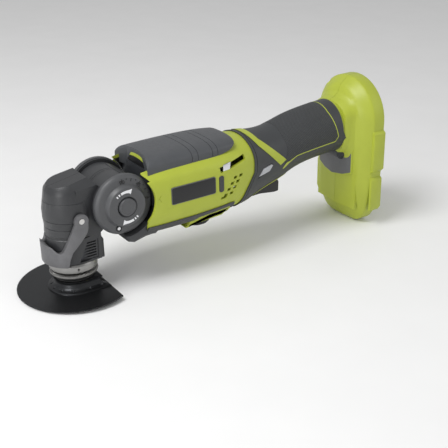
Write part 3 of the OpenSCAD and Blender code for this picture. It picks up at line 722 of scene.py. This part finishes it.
def make_skins():
    """Soft dark skin on neck and handle, and its dotted palm panel."""
    skin = patch(SKIN, REAR_LINE + SKIN_END, through(SLASH), through(PALM_BEAD), through(WELL_LINE),
                 name="neck_skin")
    carve(skin, *both_sides(BUTTON, 10, FAR))
    # narrow gap that parts the pinstripe along the barrel from the skin behind it
    stripe = [(x + 2.3, z) for x, z in REAR_LINE]
    groove = stripe + [(x + 0.5, z) for x, z in reversed(stripe)]
    carve(skin, through(groove))
    finish(skin, "housing", finish_skin, ["left_handle_grip", "right_handle_grip"])
    palm = patch(SKIN + 0.2, PALM, through(SLASH), name="palm_panel")
    finish(palm, "housing", finish_palm)


GRIP_SECTION = [(0, 1), (0.3, 0.985), (0.6, 0.92), (0.82, 0.76), (0.95, 0.5), (1, 0.2), (1, -0.4), (1, -1),
                (0, -1)]
GRIP_STATIONS = [
    (49, 25.6, 70, 85.6, 0), (62, 26, 70, 86.4, 0), (95, 26, 70, 86.9, 0), (120, 25.2, 70, 86.4, 0),
    (131, 23.6, 70, 85.6, 0), (142, 20.5, 70, 84.4, 0),
]
GRIP_SIDE = [(52.6, 70), (52.6, 77.4), (55, 80.4), (58.6, 84.6), (60.4, 90), (137.6, 90), (137, 86),
             (134.4, 81.4),
             (129, 78), (121, 76.4), (110, 75.6), (110, 70)]


def make_grip():
    """Soft grip on the barrel's top, with four scored lines across it; its rubber is painted lighter than the
    neck skin, as painted sheen from the light on its top.
    """
    grip = sweep(GRIP_STATIONS, GRIP_SECTION, name="barrel_grip")
    under = sweep(GRIP_STATIONS, GRIP_SECTION, grow=-0.5)
    carve(grip, through(GRIP_SIDE, 1.2), how="INTERSECT")
    # hollow in its front, where the head's top swings in
    carve(grip, rod("Z", (-0.2, 0), 60, 60, 100, 256))
    soften(grip, 0.9, angle=40, segments=3)
    for x in (93, 98.4, 111.6, 116.6):
        carve(grip, carve(block((x - 0.22, -FAR, 60), (x + 0.22, FAR, 100)), copy_of(under, "under")))
    discard(under)
    finish(grip, "housing", finish_pad_painted_sheen, ["left_barrel_grip", "right_barrel_grip"])


def make_side_trim():
    """Badge plates, inlays, black sheets of painted shade behind the vents, and the lock buttons."""
    x0, x1, z0, z1 = BADGE
    edge = join(*both_sides(box_outline(x0 + 0.15, x1 - 0.15, z0 + 0.15, z1 - 0.15), SIDE - 1, SIDE + 0.1,
                            1.5))
    finish(edge, "housing", finish_apron)
    plate = join(*both_sides(box_outline(x0 + 0.6, x1 - 0.6, z0 + 0.6, z1 - 0.6), SIDE - 1, SIDE + 0.3, 1.2))
    soften(plate, 0.15)
    edge.name, plate.name = "badge_rims", "badge_faces"
    finish(plate, "housing", finish_black, ["badge_plates"])
    inlay = join(*both_sides(box_outline(112.6, 116.9, 48.6, 61.9), SIDE - 1, SIDE - 0.1, 1.7))
    inlay.name = "side_inlays"
    finish(soften(inlay, 0.3), "housing", finish_dark)
    # painted shade: black sheets behind the window and the cooling slots, standing in for the shade inside
    # the barrel
    vent_shade_sheet = join(*both_sides([(111, 40), (126, 41), (139, 56), (144, 74), (111, 71)], SIDE - 3.6,
                              SIDE - 2.8))
    vent_shade_sheet.name = "vent_shade_sheets"
    carve(vent_shade_sheet, barrel_body(-2.6, "core"), how="INTERSECT")
    finish(vent_shade_sheet, "housing", finish_black)
    band = join(*both_sides([(117.4, 63.4), (123.6, 64.4), (124.6, 71), (117.4, 69.6)], SIDE - 3, SIDE - 1.9))
    band.name = "can_bands"
    finish(soften(band, 0.3), "housing", finish_can)
    inner = [(154.3, 48.9), (159.8, 55), (169.4, 56.2), (166, 51.8)]
    button = soften(prism(inner, -25.9, -18, name="lock_button_face"), 0.4)
    finish(button, "lock_button", finish_silver, ["lock_button"])


def make_lower_trim():
    """Jaw under the discs, the dark belt along the barrel's foot and the guard round the speed dial."""
    jaw = prism([(31, 31), (37, 23.2), (53.4, 26.8), (62, 25.6), (62, 36), (54, 40), (40, 40)], -27.6, 27.6,
                name="jaw")
    edit(jaw)
    pick(jaw, lambda c, d: abs(abs(c.y) - 27.6) < 0.1 and c.z < 32, "edges")
    bpy.ops.mesh.bevel(offset=3.2, offset_type="OFFSET", segments=1, affect="EDGES")
    leave()
    carve(jaw, rod("Y", (TILT_X, AXIS_Z), POCKET_R, -FAR, FAR, 128), barrel_body(-1, "core", front=51))
    finish(soften(jaw, 0.4), "housing", finish_dark)
    outline = [(50, 34.9), (90, 35.2), (123.6, 36.6), (128.4, 36.2), (128.4, 31.4), (126.4, 30.6),
               (124.6, 33.4),
               (96, 31.6), (91, 28.6), (86.5, 22), (50, 22)]
    belt = patch(0.7, outline, *front_pocket(0.2), corner=0.5, name="belt")
    finish(belt, "housing", finish_dark, ["chin_guard"])
    guard = prism([(87.6, 22), (92, 28.2), (96.4, 31), (124, 32.6), (127, 29.4), (126.4, 26.6), (121, 23.6),
                   (92, 22)],
                  -22.4, 22.4, corner=0.8, name="dial_lip")
    edit(guard)
    pick(guard, lambda c, d: abs(abs(c.y) - 22.4) < 0.1 and c.z < 26, "edges")
    bpy.ops.mesh.bevel(offset=1.6, segments=3, affect="EDGES")
    leave()
    carve(guard, rod("Z", (109, 0), 12.8, 5, 60), barrel_body(-1, "core"))
    finish(guard, "housing", finish_lime, ["dial_guard"])
    mark = block((96.6, -0.9, 16.6), (97.3, 0.9, 20.4), "dial_index")
    mark.rotation_euler = (0, 0, math.radians(57))
    mark.location = (109 - 109 * math.cos(math.radians(57)), -109 * math.sin(math.radians(57)), 0)
    settle(mark)
    finish(soften(mark, 0.1), "speed_dial", finish_white)


def make_apron():
    """Grey apron on the foot under the handle, its lime border and the ridged boss above it."""
    def plate(name, half, drop, proud):
        face = [(258.6 - proud / 2, -half), (256 - proud, 0), (258.6 - proud / 2, half), (264, half),
                (264, -half)]
        piece = prism(face, 15, 58, "XY", name=name)
        outline = [(-half, 58), (-half, 27 - drop), (-half * 0.55, 23.3 - drop), (0, 22 - drop),
                   (half * 0.55, 23.3 - drop), (half, 27 - drop), (half, 58)]
        carve(piece, prism(outline, 240, 270, "YZ"), how="INTERSECT")
        return soften(piece, 0.35)
    finish(plate("apron_border", 21.8, 0.9, 1.2), "housing", finish_lime)
    finish(plate("apron", 20.8, 0, 1.9), "housing", finish_apron)
    boss = rod("Y", (256, 45), 7.2, -12, 12, 64, name="cord_boss")
    for step, r in enumerate((6.2, 5.2, 4.2, 3.2)):
        reach = 12.7 + 0.7 * step
        carve(boss, rod("Y", (256, 45), r, -reach, reach, 64), how="UNION")
    finish(soften(boss, 0.35, segments=3), "housing", finish_skin)


def make_liner():
    """Dark liner in the barrel's mouth, round the discs."""
    liner = block((51, -FAR, 26), (59.5, FAR, 84), "mouth_liner")
    carve(liner, barrel_body(-WALL - 0.05, "inside", front=40), how="INTERSECT")
    carve(liner, *front_pocket(0.1))
    carve(liner, block((57.6, -24.5, 36.5), (62, 24.5, 75)))
    finish(liner, "housing", finish_black)


def make_trigger():
    outline = [(154, 29), (155, 24.6), (170, 24.8), (184, 22.8), (188.6, 23), (189, 31.6), (186, 36),
               (174, 36.6),
               (160, 34), (155.4, 33.2)]
    trigger = prism(outline, -8, 8, corner=0.8, name="trigger_paddle")
    soften(trigger, 1.2, segments=4)
    finish(trigger, "trigger", finish_black, ["trigger"])


halves(make_shell(), ("shell_left", "shell_right"), "housing", finish_lime,
       (["left_housing", "left_foot"], ["right_housing", "right_foot"]))
make_bars()
make_skins()
make_grip()
make_side_trim()
make_lower_trim()
make_liner()
make_apron()
make_trigger()
# ---- tilting head --------------------------------------------------------------------------------

HEAD_FRONT = [(0, 15), (17.8, 15), (18.8, 16.4), (19, 35.2), (18.2, 35.8), (18.2, 37.4), (19, 38),
              (18.6, 43), (18.3, 43.2),
              (18.65, 43.5), (19.1, 48.9), (18.8, 49.1), (19.15, 49.4), (19.2, 56), (18, 63), (17.7, 63.2),
              (17.85, 63.5),
              (17, 69), (15.9, 74), (15.6, 84), (0, 84)]
HEAD_BACK = [(0, 15.2), (16.4, 15.2), (16.8, 36), (22, 40), (40, 40), (40, 71), (19.4, 71), (13.2, 79.6),
             (12, 84), (0, 84)]
TOP_SLOPE = 10
CHEEK = 17.2


def arc_points(r, first, last, count, at=(0, 0)):
    steps = [math.radians(first + (last - first) * i / count) for i in range(count + 1)]
    return [(at[0] + r * math.cos(a), at[1] + r * math.sin(a)) for a in steps]


def top_wedge():
    """A solid that flares at 45 degrees down from the head's flat top; what it leaves is the bevelled rim."""
    rim = arc_points(12.4, 90, 270, 40) + [(26, -10.6), (26, 10.6)]
    wedge = trace(rim, "XY", "top_wedge")
    bpy.ops.mesh.select_all(action="SELECT")
    bpy.ops.mesh.edge_face_add()
    for drop, grow in ((26, 1 + 26 / 12.4), (60, 1)):
        bpy.ops.mesh.extrude_region_move(TRANSFORM_OT_translate={"value": (0, 0, -drop)})
        bpy.ops.transform.resize(value=(grow, grow, 1), center_override=(0, 0, -drop))
    bpy.ops.mesh.select_all(action="SELECT")
    bpy.ops.mesh.normals_make_consistent(inside=False)
    leave()
    wedge.rotation_euler = (0, math.radians(-TOP_SLOPE), 0)
    wedge.location = (-2.2, 0, 76.7)
    return settle(wedge)


def make_head():
    """The two covers of the tilting head."""
    head = turned(HEAD_FRONT, 120, "head_cover")
    carve(head, prism(HEAD_BACK, -CHEEK, CHEEK), how="UNION")
    carve(head, top_wedge(), how="INTERSECT")
    rear_bar = soften(prism([(10, 40), (10, 15.2), (20.4, 12.2), (21, 13), (21, 27.4), (19.6, 30), (17, 40)],
                            -12, 12), 1.2)
    drum = rod("Y", (TILT_X, AXIS_Z), 22.6, -19.8, 19.8, 128)
    carve(head, rear_bar, drum, how="UNION")
    inside = turned([(0, 10), (16.6, 10), (16.6, 60), (12.6, 71), (0, 73)], 72)
    room = prism([(0, 40), (0, 73), (10, 75), (18, 70), (34, 70), (34, 41)], -15.4, 15.4)
    opening = [(TILT_X, AXIS_Z)] + arc_points(40, -26, 134, 16, (TILT_X, AXIS_Z))
    carve(head, inside, room, rod("Y", (TILT_X, AXIS_Z), 20.9, -18, 18, 128), prism(opening, -18, 18))
    carve(head, rod("Y", (TILT_X, AXIS_Z), 11.2, -30, 30, 64), rod("Y", (0, 51.1), 1.8, -30, 30, 24))
    # louvred panels low on the two sides
    carve(head, *both_sides([(-2.6, 16.8), (13.8, 16.8), (14.2, 31.8), (4.6, 31.8)], 16.5, FAR, 0.8))
    for i in range(6):
        z = 19 + 2.2 * i
        left = -1.6 + 0.42 * (z - 17)
        slot = [(left, z - 0.55), (12.4, z - 0.55), (12.4, z + 0.55), (left + 0.4, z + 0.55)]
        carve(head, *both_sides(slot, 15, FAR, 0.3))
    soften(head, 0.35, angle=40)
    return head


# ---- scale discs ---------------------------------------------------------------------------------

PLATEAU = 29.3          # distance of the disc's raised middle from the tool's middle
FACE = 25.2
TILT_ZERO = 4           # degrees from level to the first mark


def make_disc(side, body_name):
    profile = [(0, 13.6), (7.9, 13.6), (7.9, 20), (DISC_R - 0.4, 20), (DISC_R, 20.4), (DISC_R, 22.8),
               (DISC_R - 0.4, 23.6), (DISC_R - 2, 25), (DISC_R - 2.4, FACE), (17, FACE), (16.5, FACE + 0.3),
               (15.3, PLATEAU - 0.5), (14.8, PLATEAU), (0, PLATEAU)]
    disc = turned(profile, 128, body_name)
    carve(disc, rod("Z", (0, 0), 5, 5, 40, 48), rod("Z", (0, 0), 7.2, 23, 40, 72))
    carve(disc, rod("Z", (0, 0), 7.2, PLATEAU - 0.9, PLATEAU + 0.1, 72, 8.3))
    angle = math.radians(250)
    at = (18.2 * math.cos(angle), 18.2 * math.sin(angle))
    carve(disc, rod("Z", at, 2.5, FACE - 1.4, 40, 40), rod("Z", at, 1.5, 10, 40, 24))
    return finish(lay_along_y(disc, side), "head", finish_disc,
                  ["left_scale_disc" if side < 0 else "right_scale_disc"])


def spread(items, side, name, material):
    """Joins small raised marks, lays them on a disc's face and finishes them."""
    marks = join(*items)
    marks.name = name
    return finish(lay_along_y(marks, side), "head", material)


def make_marks(side):
    """Tick marks, numerals and the two white arrows of one disc."""
    word = "left" if side < 0 else "right"
    ticks = []
    for i in range(9):
        angle = TILT_ZERO + 11.25 * i
        length = 2.2 if i % 2 == 0 else 1
        tick = block((22.2 - length - 1.4, -0.28, FACE - 0.3), (20.9, 0.28, FACE + 0.2))
        ticks.append(turn_about(tick, angle))
    for i, word_text in enumerate(("0", "45", "90")):
        bpy.ops.object.text_add()
        label = bpy.context.object
        label.data.body = word_text
        label.data.size = 4.4
        label.data.extrude = 0.25
        label.data.align_x = "CENTER"
        label.data.align_y = "CENTER"
        bpy.ops.object.convert(target="MESH")
        label = bpy.context.object
        label.location = (0, 18.1, FACE)
        settle(label)
        ticks.append(turn_about(label, TILT_ZERO + 45 * i - 90))
    spread(ticks, side, word + "_scale_marks", finish_black)
    arrows = []
    for start in (0, 180):
        body = [(112, 0.95), (102, 0.95), (92, 1), (82, 1.15), (76, 1.5), (71, 2.1)]
        outer = [point_at(12 + half, a + start) for a, half in body]
        inner = [point_at(12 - half, a + start) for a, half in reversed(body)]
        arrows.append(prism(outer + inner, PLATEAU - 0.3, PLATEAU + 0.12, "XY"))
        for a in (117, 127):
            dash = [point_at(12.9, a + start), point_at(12.9, a + start + 5), point_at(11.1, a + start + 5),
                    point_at(11.1, a + start)]
            arrows.append(prism(dash, PLATEAU - 0.3, PLATEAU + 0.12, "XY"))
    spread(arrows, side, word + "_arrows", finish_white)


def point_at(r, degrees):
    return r * math.cos(math.radians(degrees)), r * math.sin(math.radians(degrees))


def turn_about(piece, degrees):
    """Turns a mark round the disc's centre."""
    piece.rotation_euler = (0, 0, math.radians(degrees))
    return settle(piece)


def make_button():
    profile = [(0, 24), (6.8, 24), (6.8, 29.9), (6.5, 30.4), (5.9, 30.6), (5.2, 30.5), (4.8, 30.2), (0, 30)]
    button = turned(profile, 96, "release_button_face")
    carve(button, rod("Z", (0, 0), 2.6, 19.7, 25, 32), how="UNION")
    finish(lay_along_y(button), "release_button", finish_disc, ["release_button"])
    cap = turned([(0, 24), (7, 24), (7, 28.8), (6.4, 29.3), (0, 29.6)], 96, "hub_cap")
    finish(lay_along_y(cap, 1), "head", finish_disc)


# ---- lever, collars and blade --------------------------------------------------------------------

LEVER = [(-30, 15.6), (-30, 32), (-20.6, 31.6), (-17.4, 27), (-15, 27), (-13.6, 29.6), (-5.5, 48.4),
         (-4, 52), (4, 52),
         (5.3, 48.8), (4.9, 44), (3.6, 41), (-8.2, 28), (-10.6, 21.5), (-11.6, 15.6)]


def make_lever():
    """Cast lever: a band round the head's front, with two arms up to the pins."""
    lever = rod("Z", (0, 0), 22.9, 10, 60, 128, name="lever_body")
    carve(lever, rod("Z", (0, 0), 20.5, 5, 65, 128))
    carve(lever, prism(LEVER, -FAR, FAR, corner=1.2), how="INTERSECT")
    for side in (-1, 1):
        low, high = sorted((20.3 * side, 22.8 * side))
        carve(lever, rod("Y", (0, 51.1), 5.4, low, high, 64), how="UNION")
    carve(lever, rod("Y", (0, 51.1), 2.3, -30, 30, 32))
    soften(lever, 0.6, angle=40, segments=3)
    finish(lever, "clamp_lever", finish_cast, ["clamp_lever"])


def make_collars():
    ring = turned([(0, 8), (17.6, 8), (18.3, 8.6), (18.5, 13.2), (18.3, 13.8), (17.4, 14.8), (0, 14.8)], 120,
                  "nose_ring")
    carve(ring, rod("Z", (0, 0), 9.1, 0, 20, 64))
    hole_turn = math.radians(-102)
    hole = rod("X", (0, 11.4), 0.75, 15, 22, 24)
    hole.rotation_euler = (0, 0, hole_turn)
    carve(ring, settle(hole))
    finish(ring, "head", finish_collar, ["nose_collar"])
    flange = turned([(0, 0.3), (15.4, 0.3), (15.6, 1.4), (16.4, 2.2), (17.9, 3.2), (18.4, 4.4), (18.1, 5.8),
                     (17, 6.6), (0, 6.6)],
                    120, "clamp_ring")
    carve(flange, rod("Z", (0, 0), 8.4, -5, 20, 64))
    finish(flange, "spindle", finish_knurl, ["clamp_flange"])


def tail_outline(r, end, count=24):
    """Round in front and straight back to the blade's cut edge."""
    return arc_points(r, 90, 270, count) + [(end, -r), (end, r)]


def make_blade():
    """Half-round saw blade with its raised, pressed hub."""
    radius = span("blade", 0)[0] * -1
    cut = span("blade", 0)[1]
    low = span("blade", 2)[0]
    half = math.degrees(math.acos(cut / radius))
    teeth = 104
    edge = []
    for i in range(2 * teeth + 1):
        a = half + (360 - 2 * half) * i / (2 * teeth)
        edge.append(point_at(radius - (0.8 if i % 2 else 0), a))
    blade = prism(edge, low, low + 1.2, "XY", name="saw_blade")
    layers = [(low + 0.6, 20.8), (low + 1.9, 20.6), (low + 2.4, 19.8), (low + 2.6, 18.2), (low + 3.6, 16.2),
              (low + 5.2, 15),
              (low + 6.6, 14.4), (low + 7.6, 14.5), (low + 8.2, 15.5), (low + 8.7, 15.9), (low + 9.4, 15.9),
              (-0.1, 15.3)]
    hub = trace(tail_outline(layers[0][1], cut), "XY", "hub")
    bpy.ops.mesh.select_all(action="SELECT")
    bpy.ops.mesh.edge_face_add()
    bpy.ops.transform.translate(value=(0, 0, layers[0][0]))
    for (z0, r0), (z, r) in zip(layers, layers[1:]):
        bpy.ops.mesh.extrude_region_move(TRANSFORM_OT_translate={"value": (0, 0, z - z0)})
        bpy.ops.transform.resize(value=(r / r0, r / r0, 1), center_override=(0, 0, z))
    bpy.ops.mesh.select_all(action="SELECT")
    bpy.ops.mesh.normals_make_consistent(inside=False)
    leave()
    carve(hub, block((-50, -50, low - 5), (cut, 50, 5)), how="INTERSECT")
    carve(blade, hub, how="UNION")
    for a in (100, 128, 156, 184, 212, 240):
        x, y = point_at(17.6, a)
        spot = dimple((x, y), low + 2.6)
        carve(blade, spot)
    for x in (4, 14):
        carve(blade, dimple((x, -17.6), low + 2.6), dimple((x, 17.6), low + 2.6))
    bore = prism(tail_outline(13.2, cut - 1.6), low - 5, -1.4, "XY")
    carve(blade, bore, rod("Z", (0, 0), 4, -20, 5, 48))
    finish(soften(blade, 0.2, angle=50), "spindle", finish_blade, ["blade"])


def dimple(at, height):
    return rod("Z", at, 0.7, height - 0.5, height + 1, 16, 1.6)


def make_seal():
    """Two soft lips that close the slot in the fixed drum; the drive shaft runs between them."""
    ring = rod("Y", (TILT_X, AXIS_Z), 20.1, -2.7, 2.7, 96, name="slot_lips")
    carve(ring, rod("Y", (TILT_X, AXIS_Z), 19.2, -5, 5, 96), block((0, -0.12, 20), (60, 0.12, 90)))
    wedge = [(TILT_X, AXIS_Z)] + arc_points(40, 80, 186, 12, (TILT_X, AXIS_Z))
    carve(ring, prism(wedge, -5, 5), how="INTERSECT")
    finish(ring, "housing", finish_head)


make_lever()
make_seal()
make_collars()
make_blade()
for side in (-1, 1):
    make_disc(side, "left_disc" if side < 0 else "right_disc")
    make_marks(side)
make_button()
halves(make_head(), ("head_left", "head_right"), "head", finish_head,
       (["left_head_cover"], ["right_head_cover"]))

# ---- the design's own pieces that stay, with their finishes --------------------------------------

SLOT_FINISH = {
    "lime_shell": finish_lime, "soft_grip": finish_skin, "dark_plastic": finish_dark,
    "disc_plastic": finish_disc,
    "black_plastic": finish_black, "silver_button": finish_silver, "cast_alloy": finish_alloy,
    "cast_lever": finish_cast, "machined_steel": finish_steel, "bearing_steel": finish_pin,
    "fastener_steel": finish_pin, "spring_steel": finish_steel, "can_steel": finish_can,
    "magnet": finish_carbon,
    "winding": finish_copper, "carbon": finish_carbon, "contact_brass": finish_brass, "board": finish_board,
    "blade_steel": finish_blade,
}
for part in frame["record"]["subparts"]:
    node = frame["nodes"][part["node"]]
    node.data.materials.clear()
    node.data.materials.append(SLOT_FINISH[part["material_slot"]])

# ---- floor, light and camera ---------------------------------------------------------------------

CAMERA_BACK = 0.738
CAMERA_AIM = Vector((0.1376, 0, 0.0028))


def stand_floor():
    """A pale floor under the two things the tool rests on: the blade's edge and the battery foot."""
    blade_low, foot_low = span("blade", 2)[0], FOOT_LOW
    front, rear = span("blade", 0)[0], FOOT_REAR
    slope = (foot_low - blade_low) / (rear - front)
    bpy.ops.mesh.primitive_plane_add(size=6, location=(0, 0, (blade_low - slope * front) * MM - 0.0008),
                                     rotation=(0, -math.atan(slope), 0))
    floor = bpy.context.object
    floor.name = "floor"
    paper = Shader("paper", roughness=0.85, specular_ior_level=0.2)
    paper.feed("Base Color", paper.mix(paper.noise(60, 2), (0.86, 0.86, 0.86, 1), (0.9, 0.9, 0.9, 1)))
    floor.data.materials.append(paper.material)


def add_light(name, energy, size, place, aim=(0.1, 0, 0.03)):
    lamp = bpy.data.lights.new(name, "AREA")
    lamp.energy = energy
    lamp.size = size
    light = bpy.data.objects.new(name, lamp)
    light.location = place
    light.rotation_euler = (Vector(aim) - light.location).to_track_quat("-Z", "Y").to_euler()
    bpy.context.scene.collection.objects.link(light)


def set_camera():
    azimuth, height, roll = (math.radians(a) for a in (-33.7, 25.0, -1.1))
    flat = math.cos(height)
    back = Vector((math.sin(azimuth) * flat, -math.cos(azimuth) * flat, math.sin(height)))
    level = Vector((math.cos(azimuth), math.sin(azimuth), 0))
    upright = back.cross(level)
    right = level * math.cos(roll) + upright * math.sin(roll)
    up = upright * math.cos(roll) - level * math.sin(roll)
    camera = bpy.data.objects.new("camera", bpy.data.cameras.new("camera"))
    camera.data.lens = 70.8
    camera.data.clip_start = 0.02
    turn = Matrix((right, up, back)).transposed().to_4x4()
    camera.matrix_world = Matrix.Translation(CAMERA_AIM + back * CAMERA_BACK) @ turn
    bpy.context.scene.collection.objects.link(camera)
    bpy.context.scene.camera = camera


stand_floor()
add_light("key", 8, 0.5, (-0.45, -0.1, 1.0))
add_light("side", 2.4, 0.4, (-0.9, -0.5, 0.3))
add_light("fill", 1.6, 0.8, (1.0, -0.8, 0.5))
set_camera()
world = bpy.data.worlds.new("studio")
world.use_nodes = True
world.node_tree.nodes["Background"].inputs["Color"].default_value = (1, 1, 1, 1)
world.node_tree.nodes["Background"].inputs["Strength"].default_value = 0.5
bpy.context.scene.world = world
bpy.context.scene.view_settings.view_transform = "Standard"
